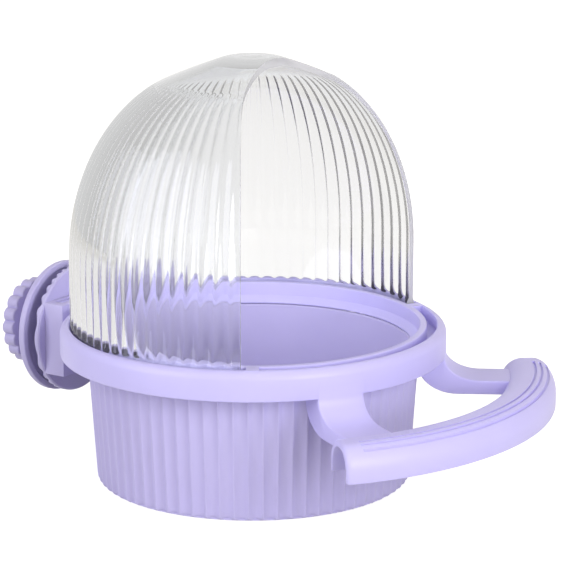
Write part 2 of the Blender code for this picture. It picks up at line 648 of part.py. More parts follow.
def lobed_mesh(low, high):
    bm = bmesh.new()
    levels = ((low, KNOB_CHAMFER), (low + KNOB_CHAMFER, 0.0), (high - KNOB_CHAMFER, 0.0),
              (high, KNOB_CHAMFER))
    rings = [[bm.verts.new((x, y, z)) for x, y in lobed_outline(inset)] for z, inset in levels]
    for lower, upper in zip(rings, rings[1:]):
        for i in range(len(lower)):
            j = (i + 1) % len(lower)
            bm.faces.new((lower[i], lower[j], upper[j], upper[i]))
    bm.faces.new(rings[0])
    bm.faces.new(rings[-1])
    return mesh_from(bm, "knob")


def build_knob(clamp):
    high = KNOB_FRONT + KNOB_THICKNESS
    mesh = lobed_mesh(KNOB_FRONT, high)
    knob = add_part("knob", mesh, clamp, make_material("knob_plastic", PLASTIC, 0.4))
    hub = cylinder_solid("hub", HUB_RADIUS, HUB_FRONT, KNOB_FRONT + JOIN, CLAMP_STEPS)
    combine(knob, hub, "UNION", "hub")
    for index in range(HUB_RIBS // 2):
        reach = HUB_RADIUS + HUB_RIB_HEIGHT
        half = HUB_RIB_WIDTH / 2
        rib = box_solid("rib", (-reach, -half, HUB_FRONT + HUB_RIB_WIDTH),
                        (reach, half, KNOB_FRONT + JOIN))
        rib.transform(Matrix.Rotation(2 * pi * index / HUB_RIBS, 4, "Z"))
        combine(knob, rib, "UNION", "ribs_%d" % index)
    pocket = cylinder_solid("pocket", hex_corner(NUT_ACROSS_FLATS + 2 * FIT_GAP), POCKET_FLOOR,
                            high + JOIN, 6)
    combine(knob, pocket, "DIFFERENCE", "nut_pocket")
    bore = cylinder_solid("bore", BOLT_RADIUS + FIT_GAP, HUB_FRONT - JOIN, POCKET_FLOOR + JOIN,
                          BORE_STEPS)
    combine(knob, bore, "DIFFERENCE", "bore")


def hex_corner(across_flats):
    return across_flats / 2 / cos(pi / 6)


def build_knob_nut(clamp):
    low = POCKET_FLOOR + FIT_GAP
    mesh = cylinder_solid("knob_nut", hex_corner(NUT_ACROSS_FLATS), low, low + NUT_THICKNESS, 6)
    steel = make_material("nut_steel", (0.60, 0.60, 0.61), 0.34, metallic=1.0)
    nut = add_part("knob_nut", mesh, clamp, steel)
    bore = cylinder_solid("bore", BOLT_RADIUS + FIT_GAP, low - JOIN, low + NUT_THICKNESS + JOIN,
                          BORE_STEPS)
    combine(nut, bore, "DIFFERENCE", "thread")


clear_scene()
PARTS = new_collection("birdcage_feeder")
CUTTERS = new_collection("cutters")

cup_axis = place("cup_axis", None, None, PARTS)
cup_axis.location = (0.0, -CLAMP_FACE, -CLAMP_HEIGHT)
cup_axis.rotation_euler = (0.0, 0.0, -pi / 2)
clamp_axis = place("clamp_axis", None, None, PARTS)
clamp_axis.rotation_euler = (-pi / 2, 0.0, 0.0)

build_seed_cup(cup_axis)
build_perch_ring(cup_axis)
build_hood(cup_axis)
build_mount_plate(clamp_axis)
build_clamp_bolt(clamp_axis)
build_clamp_dish(clamp_axis)
build_knob(clamp_axis)
build_knob_nut(clamp_axis)
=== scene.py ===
"""Finish of the clamp-on birdcage feeder: satin lavender mouldings, a clear fluted hood and a steel bolt.

Lengths are in metres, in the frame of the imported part: the clamp bolt lies along +Y through the
origin, +Z is up, and the perch points towards -Y.
"""
from math import acos, atan2, cos, hypot, pi, radians, sin, sqrt, tan

import bmesh
import bpy
from mathutils import Matrix, Vector


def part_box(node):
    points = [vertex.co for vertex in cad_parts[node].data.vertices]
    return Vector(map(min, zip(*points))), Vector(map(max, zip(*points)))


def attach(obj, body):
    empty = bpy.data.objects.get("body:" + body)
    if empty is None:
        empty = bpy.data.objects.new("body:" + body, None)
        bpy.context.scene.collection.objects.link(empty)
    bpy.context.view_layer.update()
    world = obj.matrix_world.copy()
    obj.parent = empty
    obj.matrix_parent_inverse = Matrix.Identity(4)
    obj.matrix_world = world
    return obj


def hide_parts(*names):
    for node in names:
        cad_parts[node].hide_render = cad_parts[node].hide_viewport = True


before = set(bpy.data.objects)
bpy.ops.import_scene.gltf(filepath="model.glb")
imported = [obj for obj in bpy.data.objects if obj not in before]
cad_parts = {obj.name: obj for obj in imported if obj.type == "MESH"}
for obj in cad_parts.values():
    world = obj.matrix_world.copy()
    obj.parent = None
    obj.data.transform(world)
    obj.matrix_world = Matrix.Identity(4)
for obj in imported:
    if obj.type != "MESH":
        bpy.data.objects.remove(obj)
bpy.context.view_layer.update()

# Gap between touching pieces, distance at which vertices merge, and shift between faces that run flush
MM = 0.001
GAP = 0.3 * MM
MERGE = 0.001 * MM
FLUSH = 0.02 * MM

# Places read from the frame
cup_low, cup_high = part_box("seed_cup")
hood_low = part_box("hood")[0]
dish_low, dish_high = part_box("clamp_dish")
knob_low, knob_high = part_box("knob")
plate_low, plate_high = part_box("mount_plate")
bolt_low, bolt_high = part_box("clamp_bolt")
nut_low, nut_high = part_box("knob_nut")
CUP_AXIS = Vector(((cup_low[0] + cup_high[0]) / 2, (cup_low[1] + cup_high[1]) / 2, cup_low[2]))
PERCH_TURN = Matrix.Translation(CUP_AXIS) @ Matrix.Rotation(-pi / 2, 4, "Z")
CLAMP_TURN = Matrix.Rotation(-pi / 2, 4, "X")

# Cup
CUP_TOP = (cup_high[0] - cup_low[0]) / 2
CUP_HEIGHT = cup_high[2] - cup_low[2]
CUP_TAPER = 2.3 * MM
CUP_BASE = CUP_TOP - CUP_TAPER
CUP_WALL = 2.4 * MM
CUP_FLOOR = 2.2 * MM
CUP_ROUNDING = 1.3 * MM
CUP_INNER_ROUNDING = 4.0 * MM
CUP_SIDE_STEPS = 6
CUP_FLUTES = 72
CUP_FLUTE_DEPTH = 1.0 * MM
CUP_FLUTE_FADE = 0.4 * MM
FOOT_RECESS = 0.6 * MM
FOOT_WIDTH = 3.0 * MM

# Flutes of the cup and the hood; the ridge is half of a flat one, as a share of the pitch
FLUTE_COLUMNS = 8
FLUTE_RIDGE = 0.045

# Ring
LIP_WALL = 1.9 * MM
HOOD_FOOT_WALL = 2.2 * MM
BAND_WALL = 2.5 * MM
BAND_ROUNDING = 2.4 * MM
FLANGE = 2.0 * MM
GROOVE_DEPTH = 3.6 * MM
SKIRT_WALL = 2.0 * MM
SKIRT_DROP = 2.3 * MM
EDGE = 0.35 * MM
RING_STEPS = 288
GROOVE_INNER = CUP_TOP + LIP_WALL
HOOD_RADIUS = GROOVE_INNER + GAP + HOOD_FOOT_WALL
GROOVE_OUTER = HOOD_RADIUS + GAP
BAND_RADIUS = GROOVE_OUTER + BAND_WALL
LEDGE_INNER = CUP_TOP - CUP_WALL + GAP
FLANGE_BOTTOM = CUP_HEIGHT + GAP
GROOVE_FLOOR = FLANGE_BOTTOM + FLANGE
BAND_TOP = GROOVE_FLOOR + GROOVE_DEPTH
BAND_BOTTOM = FLANGE_BOTTOM - SKIRT_DROP

# Perch and straps
PERCH_INNER = BAND_RADIUS + 16.0 * MM
PERCH_OUTER = PERCH_INNER + 13.7 * MM
PERCH_TOP = BAND_BOTTOM - 4.2 * MM
PERCH_DEPTH = 9.1 * MM
PERCH_WALL = 1.6 * MM
PERCH_ROUNDING = 5.6 * MM
PERCH_END_ROUNDING = 1.2 * MM
PERCH_HALF_ANGLE = radians(39.6)
PERCH_STEPS = 60
GRIP_LINES = 3
GRIP_WIDTH = 0.7 * MM
GRIP_DEPTH = 0.55 * MM
GRIP_PITCH = 1.7 * MM
GRIP_START = 1.3 * MM
GRIP_END = radians(3.5)
GRIP_STEPS = 100
ARM_ANGLE = radians(30.3)
ARM_WIDTH = 13.0 * MM
ARM_THICKNESS = 3.8 * MM
ARM_TOP = PERCH_TOP - 1.9 * MM
ARM_UPPER_RUN = 9.8 * MM
ARM_LOWER_RUN = 10.7 * MM
ARM_ROOT_DROP = 1.7 * MM
ARM_SLICES = 10

# Hood
HOOD_FOOT = hood_low[2] - CUP_AXIS.z
HOOD_STRAIGHT = 21.0 * MM
HOOD_SPRING = HOOD_FOOT + HOOD_STRAIGHT
HOOD_WALL = 1.5 * MM
HOOD_CROWN_WALL = 2.5 * MM
HOOD_CROWN_REACH = 7.0 * MM
SHOULDER_REACH = 39.4 * MM
SHOULDER_RISE = 51.3 * MM
SHOULDER_TURN = radians(67.6)
SHOULDER_STEPS = 34
ROOF_RADIUS = 219.4 * MM
ROOF_START = radians(66)
ROOF_END = radians(70.5)
ROOF_STEPS = 8
CROWN_RADIUS = 12.0 * MM
APEX_DISC = 2.8 * MM
APEX_RISE = 0.08 * MM
APEX_STEPS = 4
HOOD_FLUTES = 80
HOOD_FLUTE_DEPTH = 0.55 * MM
FLUTE_TOP_RADIUS = 25.0 * MM
FLUTE_FADE = 4.0 * MM
FLUTE_RUN_OUT = 1.2 * MM
MOUTH_TIP_REACH = 7.0 * MM
MOUTH_TIP_RADIUS = 50.0 * MM
MOUTH_TIP_STEPS = 48
MOUTH_SLOPE = radians(33.5)
MOUTH_CENTRE = MOUTH_TIP_REACH + MOUTH_TIP_RADIUS
MOUTH_PASS = MOUTH_CENTRE * cos(MOUTH_SLOPE) - MOUTH_TIP_RADIUS
MOUTH_EDGE_ANGLE = acos(MOUTH_PASS / HOOD_RADIUS) - MOUTH_SLOPE
LUG_WIDTH = 3.4 * MM
LUG_CLEARANCE = 1.2 * MM

# Socket, tongue and grooved plate
SOCKET_WIDTH = 30.2 * MM
SOCKET_HEIGHT = 20.5 * MM
SOCKET_SIDE = 2.8 * MM
SOCKET_FRONT_WALL = 2.2 * MM
SOCKET_FLOOR = 2.0 * MM
TONGUE_DEPTH = 2.1 * MM
NECK_WIDTH = 10.0 * MM
SOCKET_FRONT = plate_low[1]
PLATE_RADIUS = plate_high[0]
PLATE_THICKNESS = 1.9 * MM
PLATE_STEPS = 192
WIRE_GROOVES = 16
WIRE_GROOVE_PITCH = 2.3 * MM
WIRE_GROOVE_DEPTH = 1.0 * MM
WIRE_GROOVE_HALF = 0.43 * WIRE_GROOVE_PITCH
WIRE_GROOVE_STEPS = 12

# Bolt, nut, dish and knob
BOLT_RADIUS = 3.0 * MM
BOLT_HEAD = 6.5 * MM
BOLT_HEAD_HEIGHT = 1.3 * MM
BOLT_HEAD_ROUNDING = 1.0 * MM
HEAD_STEPS = 64
BORE_STEPS = 48
THREAD_PITCH = 1.0 * MM
THREAD_DEPTH = 0.45 * MM
THREAD_HALF_WIDTH = 0.45 * THREAD_PITCH
THREAD_RUN_OUT = 1.2 * MM
THREAD_STEPS = 32
DISH_RADIUS = dish_high[0]
DISH_RIM = 2.0 * MM
DISH_RIM_DEPTH = 2.1 * MM
DISH_RECESS = 1.4 * MM
DISH_STEPS = 128
KNOB_RADIUS = 12.2 * MM
KNOB_THICKNESS = 3.8 * MM
KNOB_CHAMFER = 0.5 * MM
KNOB_FACE_MARGIN = 3.0 * MM
KNOB_LOBES = 18
LOBE_COLUMNS = 12
LOBE_RADIUS = 2.1 * MM
HUB_RADIUS = 7.6 * MM
HUB_STEPS = 96
HUB_RIBS = 6
HUB_RIB_HEIGHT = 1.4 * MM
HUB_RIB_WIDTH = 1.4 * MM
NUT_FLATS = 10.0 * MM
NUT_LEDGE = 1.3 * MM
NUT_FACE = 0.96 * NUT_FLATS / 2

# Studio
FLOOR_SIZE = 4.0
FLOOR_DROP = 0.2 * MM
BEHIND_FEEDER = (0.81, 0.54, -0.23)


def linear(code):
    """Linear colour of an sRGB hex code."""
    channels = [int(code[i:i + 2], 16) / 255 for i in (1, 3, 5)]
    return tuple(c / 12.92 if c <= 0.04045 else ((c + 0.055) / 1.055) ** 2.4 for c in channels) + (1.0,)


def add_node(tree, kind, settings=None, inputs=None):
    """Add a node; an input takes a value, or a link where its value is another node's socket."""
    node = tree.nodes.new(kind)
    for name, value in (settings or {}).items():
        setattr(node, name, value)
    for name, value in (inputs or {}).items():
        if isinstance(value, bpy.types.NodeSocket):
            tree.links.new(value, node.inputs[name])
        else:
            node.inputs[name].default_value = value
    return node


def new_material(name):
    """Empty material with its output node."""
    material = bpy.data.materials.new(name)
    material.use_nodes = True
    tree = material.node_tree
    tree.nodes.clear()
    output = add_node(tree, "ShaderNodeOutputMaterial")
    return material, tree, output


def moulded_polypropylene(name, base, deep, grain):
    """Satin injection-moulded polypropylene: even colour, faint flow marks, fine spark-eroded grain."""
    material, tree, output = new_material(name)
    place = add_node(tree, "ShaderNodeTexCoord").outputs["Object"]
    # Flow marks are some 18 mm long and barely shift the tint
    flow = add_node(tree, "ShaderNodeTexNoise", {}, {"Vector": place, "Scale": 55.0, "Detail": 3.0})
    tint = add_node(tree, "ShaderNodeValToRGB", {}, {"Fac": flow.outputs["Fac"]})
    tint.color_ramp.elements[0].position = 0.3
    tint.color_ramp.elements[0].color = linear(deep)
    tint.color_ramp.elements[1].position = 0.7
    tint.color_ramp.elements[1].color = linear(base)
    # The real grain is about 0.05 mm; 0.25 mm is the finest that shows
    sparks = add_node(tree, "ShaderNodeTexNoise", {}, {"Vector": place, "Scale": 1 / (0.25 * MM),
                                                       "Detail": 2.0})
    bump = add_node(tree, "ShaderNodeBump", {}, {"Height": sparks.outputs["Fac"], "Strength": grain,
                                                 "Distance": 0.02 * MM})
    rough = add_node(tree, "ShaderNodeMapRange", {}, {"Value": sparks.outputs["Fac"], "From Min": 0.3,
                                                      "From Max": 0.7, "To Min": 0.36, "To Max": 0.46})
    shader = add_node(tree, "ShaderNodeBsdfPrincipled", {}, {
        "Base Color": tint.outputs["Color"], "Roughness": rough.outputs["Result"],
        "Normal": bump.outputs["Normal"], "IOR": 1.49, "Specular IOR Level": 0.45,
        "Subsurface Weight": 0.05, "Subsurface Radius": (1.0, 1.0, 1.0), "Subsurface Scale": 0.6 * MM})
    tree.links.new(shader.outputs["BSDF"], output.inputs["Surface"])
    return material


def clear_polystyrene(name):
    """Polished clear polystyrene: water-clear, sharp gloss, and lamps pass through to what it covers."""
    material, tree, output = new_material(name)
    shader = add_node(tree, "ShaderNodeBsdfPrincipled", {}, {
        "Base Color": linear("#F5F6F7"), "Roughness": 0.01, "IOR": 1.52, "Transmission Weight": 1.0})
    # Light that has been mirrored once inside the wall leaves it dimmed, and doesn't end there as black
    path = add_node(tree, "ShaderNodeLightPath").outputs
    spent = add_node(tree, "ShaderNodeMath", {"operation": "GREATER_THAN"},
                     {0: path["Glossy Depth"], 1: 0.5})
    freed = add_node(tree, "ShaderNodeMath", {"operation": "MAXIMUM"},
                     {0: path["Is Shadow Ray"], 1: spent.outputs[0]})
    dimmed = add_node(tree, "ShaderNodeMapRange", {}, {"Value": spent.outputs[0], "To Min": 0.92,
                                                       "To Max": 0.7})
    open_air = add_node(tree, "ShaderNodeBsdfTransparent", {}, {"Color": dimmed.outputs["Result"]})
    mix = add_node(tree, "ShaderNodeMixShader", {}, {"Fac": freed.outputs[0]})
    tree.links.new(shader.outputs["BSDF"], mix.inputs[1])
    tree.links.new(open_air.outputs["BSDF"], mix.inputs[2])
    tree.links.new(mix.outputs["Shader"], output.inputs["Surface"])
    return material


def trimmed_polystyrene(name):
    """Cut rim of clear polystyrene: it gathers light from inside the wall and looks pale grey."""
    material, tree, output = new_material(name)
    shader = add_node(tree, "ShaderNodeBsdfPrincipled", {}, {
        "Base Color": linear("#DCDCDF"), "Roughness": 0.25, "IOR": 1.52, "Transmission Weight": 0.35})
    tree.links.new(shader.outputs["BSDF"], output.inputs["Surface"])
    return material


def zinc_plated_steel(name):
    """Bright zinc-plated steel: pale metal with a faint cloudy variation in its gloss."""
    material, tree, output = new_material(name)
    place = add_node(tree, "ShaderNodeTexCoord").outputs["Object"]
    clouds = add_node(tree, "ShaderNodeTexNoise", {}, {"Vector": place, "Scale": 900.0, "Detail": 4.0})
    rough = add_node(tree, "ShaderNodeMapRange", {}, {"Value": clouds.outputs["Fac"],
                                                      "To Min": 0.2, "To Max": 0.42})
    shader = add_node(tree, "ShaderNodeBsdfPrincipled", {}, {
        "Base Color": linear("#CCCDCF"), "Metallic": 1.0, "Roughness": rough.outputs["Result"]})
    tree.links.new(shader.outputs["BSDF"], output.inputs["Surface"])
    return material


def arc(centre, radii, start, end, steps):
    """Points of an arc or an ellipse's arc in the section plane, both ends included."""
    turns = [start + (end - start) * i / steps for i in range(steps + 1)]
    return [(centre[0] + radii[0] * cos(t), centre[1] + radii[1] * sin(t)) for t in turns]


def spun(profile, steps, closed=True, angle=2 * pi, start=0.0):
    """Spin a section of (radius, height) points about Z; a part turn gets its two ends filled."""
    bm = bmesh.new()
    verts = [bm.verts.new((r * cos(start), r * sin(start), z)) for r, z in profile]
    edges = [bm.edges.new(pair) for pair in zip(verts, verts[1:])]
    if closed:
        edges.append(bm.edges.new((verts[-1], verts[0])))
    full = angle == 2 * pi
    bmesh.ops.spin(bm, geom=verts + edges, cent=(0, 0, 0), axis=(0, 0, 1), dvec=(0, 0, 0),
                   angle=angle, steps=steps, use_merge=full)
    bmesh.ops.remove_doubles(bm, verts=bm.verts, dist=MERGE)
    if not full:
        bmesh.ops.edgeloop_fill(bm, edges=[e for e in bm.edges if e.is_boundary])
    bmesh.ops.recalc_face_normals(bm, faces=bm.faces)
    return bm


def block(low, high):
    """Box between two corners."""
    bm = bmesh.new()
    bmesh.ops.create_cube(bm, size=1.0)
    low, high = Vector(low), Vector(high)
    bmesh.ops.scale(bm, vec=high - low, verts=bm.verts)
    bmesh.ops.translate(bm, vec=(high + low) / 2, verts=bm.verts)
    return bm


def rod(radius, low, high, sides):
    """Upright cylinder or prism between two heights."""
    bm = bmesh.new()
    bmesh.ops.create_cone(bm, cap_ends=True, segments=sides, radius1=radius, radius2=radius,
                          depth=high - low)
    bmesh.ops.translate(bm, vec=(0, 0, (low + high) / 2), verts=bm.verts)
    return bm


def prism(points, sweep):
    """Extrude a flat outline along a vector."""
    bm = bmesh.new()
    face = bm.faces.new([bm.verts.new(p) for p in points])
    grown = bmesh.ops.extrude_face_region(bm, geom=[face])["geom"]
    bmesh.ops.translate(bm, vec=sweep, verts=[g for g in grown if isinstance(g, bmesh.types.BMVert)])
    bmesh.ops.recalc_face_normals(bm, faces=bm.faces)
    return bm


def soften(bm, width, segments=2, limit=radians(35), chosen=None):
    """Round the edges that are sharper than a limit."""
    edges = [e for e in bm.edges if len(e.link_faces) == 2 and e.calc_face_angle(0.0) > limit
             and (chosen is None or chosen(e))]
    bmesh.ops.bevel(bm, geom=edges, offset=width, offset_type="OFFSET", segments=segments,
                    profile=0.5, affect="EDGES", material=-1, clamp_overlap=True)
    return bm


def mesh_object(name, bm):
    """Object in the scene that takes over a shape."""
    mesh = bpy.data.meshes.new(name)
    bm.to_mesh(mesh)
    bm.free()
    thing = bpy.data.objects.new(name, mesh)
    bpy.context.scene.collection.objects.link(thing)
    return thing


def combined(base, tools, operation):
    """Join closed shapes to a base, or cut them from it, and give the result as one mesh."""
    target = mesh_object("work", base)
    helpers = [mesh_object("tool", tool) for tool in tools]
    for helper in helpers:
        boolean = target.modifiers.new("boolean", "BOOLEAN")
        boolean.operation = operation
        boolean.solver = "MANIFOLD"
        boolean.object = helper
    bpy.context.view_layer.update()
    bm = bmesh.new()
    bm.from_mesh(target.evaluated_get(bpy.context.evaluated_depsgraph_get()).to_mesh())
    for thing in [target] + helpers:
        bpy.data.objects.remove(thing, do_unlink=True)
    return bm


def finish_piece(name, bm, turn, material, body, nodes, sharp):
    """Put a shape in its place, give it its material, and hang it on its body."""
    bmesh.ops.transform(bm, matrix=turn, verts=bm.verts)
    piece = mesh_object(name, bm)
    piece.data.materials.append(material)
    piece.data.shade_smooth()
    piece.data.set_sharp_from_angle(angle=sharp)
    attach(piece, body)
    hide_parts(*nodes)
    return piece


def flute(bm, count, depth, offset, share):
    """Press flutes with narrow flat ridges into a turned shape that has FLUTE_COLUMNS columns for each."""
    scoop_width = 1 - 2 * FLUTE_RIDGE
    stops = [-FLUTE_RIDGE]
    stops += [FLUTE_RIDGE + scoop_width * i / (FLUTE_COLUMNS - 1) for i in range(FLUTE_COLUMNS - 1)]
    pitch = 2 * pi / count
    for vert in bm.verts:
        radius = hypot(vert.co.x, vert.co.y)
        weight = share(radius, vert.co.z) if radius > MERGE else 0.0
        if weight <= 0.0:
            continue
        column = round((atan2(vert.co.y, vert.co.x) / pitch - offset) * FLUTE_COLUMNS)
        number, index = divmod(column, FLUTE_COLUMNS)
        phase = stops[index]
        across = max(0.0, (phase - FLUTE_RIDGE) / scoop_width)
        scoop = 1 - (2 * across - 1) ** 2
        # Where the flute fades, the columns go back to even steps
        even = index / FLUTE_COLUMNS
        turn = (number + offset + even + (phase - even) * weight) * pitch
        reach = radius - depth * weight * scoop
        vert.co.x = reach * cos(turn)
        vert.co.y = reach * sin(turn)


def build_cup(plastic):
    """Fluted cup with a rounded lip and a shallow recess inside its foot."""
    inner_corner = (CUP_BASE - CUP_WALL - CUP_INNER_ROUNDING, CUP_FLOOR + CUP_INNER_ROUNDING)
    foot = CUP_BASE - CUP_ROUNDING
    inner_top = CUP_TOP - CUP_WALL
    profile = [(0.0, CUP_FLOOR)]
    profile += arc(inner_corner, (CUP_INNER_ROUNDING, CUP_INNER_ROUNDING), -pi / 2, 0.0, steps=6)
    profile += [(inner_top, CUP_HEIGHT - EDGE), (inner_top + EDGE, CUP_HEIGHT)]
    profile += [(CUP_TOP - EDGE - CUP_FLUTE_DEPTH, CUP_HEIGHT), (CUP_TOP, CUP_HEIGHT - EDGE)]
    for step in range(1, CUP_SIDE_STEPS):
        down = step / CUP_SIDE_STEPS
        profile.append((CUP_TOP - CUP_TAPER * down,
                        CUP_HEIGHT - EDGE + (CUP_ROUNDING - CUP_HEIGHT + EDGE) * down))
    profile += arc((foot, CUP_ROUNDING), (CUP_ROUNDING, CUP_ROUNDING), 0.0, -pi / 2, steps=8)
    profile += [(foot - FOOT_WIDTH, 0.0), (foot - FOOT_WIDTH - FOOT_RECESS, FOOT_RECESS)]
    profile += [(0.0, FOOT_RECESS)]
    bm = spun(profile, CUP_FLUTES * FLUTE_COLUMNS, closed=False)

    def share(radius, height):
        """Flute's share of its full depth: the outer wall alone is fluted."""
        if radius < foot + EDGE or height > CUP_HEIGHT - EDGE / 2:
            return 0.0
        wall_inner = CUP_BASE - CUP_WALL + CUP_TAPER * height / CUP_HEIGHT
        if height > CUP_FLOOR + EDGE and radius < wall_inner + CUP_WALL / 2:
            return 0.0
        return min(1.0, height / CUP_FLUTE_FADE)

    flute(bm, CUP_FLUTES, CUP_FLUTE_DEPTH, 0.5, share)
    finish_piece("cup_shell", bm, PERCH_TURN, plastic, "feeder", ["seed_cup"],
                 sharp=radians(30))


def band_shape():
    """Smooth band with its skirt, flange, hood groove and inner lip."""
    crown = (BAND_RADIUS - BAND_ROUNDING, BAND_TOP - BAND_ROUNDING)
    profile = arc((GROOVE_OUTER + EDGE, BAND_TOP - EDGE), (EDGE, EDGE), pi, pi / 2, steps=3)
    profile += arc(crown, (BAND_ROUNDING, BAND_ROUNDING), pi / 2, 0.0, steps=10)
    profile += arc((BAND_RADIUS - EDGE, BAND_BOTTOM + EDGE), (EDGE, EDGE), 0.0, -pi / 2, steps=3)
    profile += arc((BAND_RADIUS - SKIRT_WALL + EDGE, BAND_BOTTOM + EDGE), (EDGE, EDGE),
                   -pi / 2, -pi, steps=3)
    profile += [(BAND_RADIUS - SKIRT_WALL, FLANGE_BOTTOM), (LEDGE_INNER, FLANGE_BOTTOM)]
    profile += [(LEDGE_INNER, FLANGE_BOTTOM + GAP), (CUP_TOP, GROOVE_FLOOR)]
    profile += arc((CUP_TOP + EDGE, BAND_TOP - EDGE), (EDGE, EDGE), pi, pi / 2, steps=3)
    profile += arc((GROOVE_INNER - EDGE, BAND_TOP - EDGE), (EDGE, EDGE), pi / 2, 0.0, steps=3)
    profile += [(GROOVE_INNER, GROOVE_FLOOR), (GROOVE_OUTER, GROOVE_FLOOR)]
    return spun(profile, RING_STEPS)


def lug_shape(side):
    """Lug that fills the hood's groove beside one leg of the hood."""
    edge = MOUTH_EDGE_ANGLE - LUG_CLEARANCE / HOOD_RADIUS
    near = edge - LUG_WIDTH / HOOD_RADIUS
    section = [(CUP_TOP + 2 * EDGE, BAND_TOP), (GROOVE_OUTER + 2 * EDGE, BAND_TOP)]
    section += [(GROOVE_OUTER + 2 * EDGE, GROOVE_FLOOR - EDGE), (CUP_TOP + 2 * EDGE, GROOVE_FLOOR - EDGE)]
    start = near if side > 0 else -edge
    return spun(section, steps=6, angle=edge - near, start=start)


def arm_shape(side):
    """Strap from under the band out to the perch, with rounded long edges."""
    bottom = ARM_TOP - ARM_THICKNESS
    root = BAND_BOTTOM - ARM_ROOT_DROP
    inner = CUP_TOP - CUP_WALL
    upper = arc((BAND_RADIUS + ARM_UPPER_RUN, BAND_BOTTOM),
                (ARM_UPPER_RUN - FLUSH, BAND_BOTTOM - ARM_TOP), pi, 1.5 * pi, steps=16)
    lower = arc((CUP_TOP + ARM_LOWER_RUN, root), (ARM_LOWER_RUN, root - bottom), 1.5 * pi, pi, steps=16)
    end = PERCH_INNER + PERCH_WALL - GAP
    skin = BAND_RADIUS + FLUSH
    outline = [(inner, FLANGE_BOTTOM + EDGE), (skin, FLANGE_BOTTOM + EDGE)]
    outline += upper + [(end, ARM_TOP), (end, bottom)] + lower + [(inner, root)]
    bm = prism([(r, -ARM_WIDTH / 2, z) for r, z in outline], (0, ARM_WIDTH, 0))
    soften(bm, EDGE, segments=3,
           chosen=lambda e: abs(abs(e.verts[0].co.y) - ARM_WIDTH / 2) < MERGE
           and abs(e.verts[0].co.y - e.verts[1].co.y) < MERGE)
    for index in range(1, ARM_SLICES):
        level = ARM_WIDTH * (index / ARM_SLICES - 0.5)
        bmesh.ops.bisect_plane(bm, geom=bm.verts[:] + bm.edges[:] + bm.faces[:],
                               plane_co=(0, level, 0), plane_no=(0, 1, 0))
    # Bent to the band's curve, so that the strap's face runs on from the band's
    for vert in bm.verts:
        vert.co.x = sqrt(vert.co.x ** 2 - vert.co.y ** 2)
    bmesh.ops.rotate(bm, cent=(0, 0, 0), matrix=Matrix.Rotation(side * ARM_ANGLE, 3, "Z"), verts=bm.verts)
    return bm


def perch_shape():
    """Inverted channel bent round the cup, with a rounded top and softened rims and ends."""
    bottom = PERCH_TOP - PERCH_DEPTH
    big = (PERCH_ROUNDING, PERCH_ROUNDING)
    hollow = PERCH_ROUNDING - PERCH_WALL / 2
    section = arc((PERCH_INNER + PERCH_ROUNDING, PERCH_TOP - PERCH_ROUNDING), big, pi, pi / 2, steps=12)
    section += arc((PERCH_OUTER - PERCH_ROUNDING, PERCH_TOP - PERCH_ROUNDING), big, pi / 2, 0.0, steps=12)
    skin = section + [(PERCH_OUTER, bottom), (PERCH_INNER, bottom)]
    section += [(PERCH_OUTER, bottom), (PERCH_OUTER - PERCH_WALL, bottom)]
    section += arc((PERCH_OUTER - PERCH_WALL - hollow, PERCH_TOP - PERCH_WALL - hollow),
                   (hollow, hollow), 0.0, pi / 2, steps=8)
    section += arc((PERCH_INNER + PERCH_WALL + hollow, PERCH_TOP - PERCH_WALL - hollow),
                   (hollow, hollow), pi / 2, pi, steps=8)
    section += [(PERCH_INNER + PERCH_WALL, bottom), (PERCH_INNER, bottom)]
    bm = spun(section, PERCH_STEPS, angle=2 * PERCH_HALF_ANGLE, start=-PERCH_HALF_ANGLE)

    def at_end(vert):
        """Whether a vertex lies on the outer outline of one of the perch's ends."""
        radius = hypot(vert.co.x, vert.co.y)
        off = abs(abs(atan2(vert.co.y, vert.co.x)) - PERCH_HALF_ANGLE) * radius
        return off < MERGE and any(hypot(radius - r, vert.co.z - z) < MERGE for r, z in skin)

    soften(bm, PERCH_END_ROUNDING, segments=5,
           chosen=lambda edge: all(at_end(vert) for vert in edge.verts))
    return soften(bm, EDGE, limit=radians(50))


def grip_shape(index):
    """Groove along the perch, on the outer half of its rounded top."""
    offset = GRIP_START + index * GRIP_PITCH
    middle = (PERCH_INNER + PERCH_OUTER) / 2 + offset
    half = GRIP_WIDTH / 2
    beyond = max(0.0, offset - (PERCH_OUTER - PERCH_INNER) / 2 + PERCH_ROUNDING)
    bed = PERCH_TOP - PERCH_ROUNDING + sqrt(PERCH_ROUNDING ** 2 - beyond ** 2) - GRIP_DEPTH
    section = [(middle - half, PERCH_TOP + GAP), (middle - half, bed)]
    section += [(middle + half, bed), (middle + half, PERCH_TOP + GAP)]
    reach = PERCH_HALF_ANGLE - GRIP_END
    return spun(section, GRIP_STEPS, angle=2 * reach, start=-reach)


def tongue_shapes():
    """T-shaped tongue behind the band: a neck and the head that drops into the socket."""
    low = BAND_TOP - SOCKET_HEIGHT + SOCKET_FLOOR + GAP
    socket_front = SOCKET_FRONT - CUP_AXIS.y
    head_front = socket_front + SOCKET_FRONT_WALL + GAP
    head_back = head_front + TONGUE_DEPTH
    band_middle = GROOVE_OUTER + BAND_WALL / 2
    inner = CUP_TOP - CUP_WALL
    outline = [(inner, low), (inner, FLANGE_BOTTOM + EDGE), (band_middle, FLANGE_BOTTOM + EDGE)]
    outline += [(band_middle, BAND_TOP - BAND_ROUNDING), (BAND_RADIUS, BAND_TOP)]
    outline += [(head_front + EDGE, BAND_TOP), (head_front + EDGE, low)]
    web = prism([(-r, -NECK_WIDTH / 2, z) for r, z in outline], (0, NECK_WIDTH, 0))
    half = SOCKET_WIDTH / 2 - SOCKET_SIDE - GAP
    head = block((-head_back, -half, low), (-head_front, half, BAND_TOP - EDGE))
    return [web, soften(head, EDGE)]


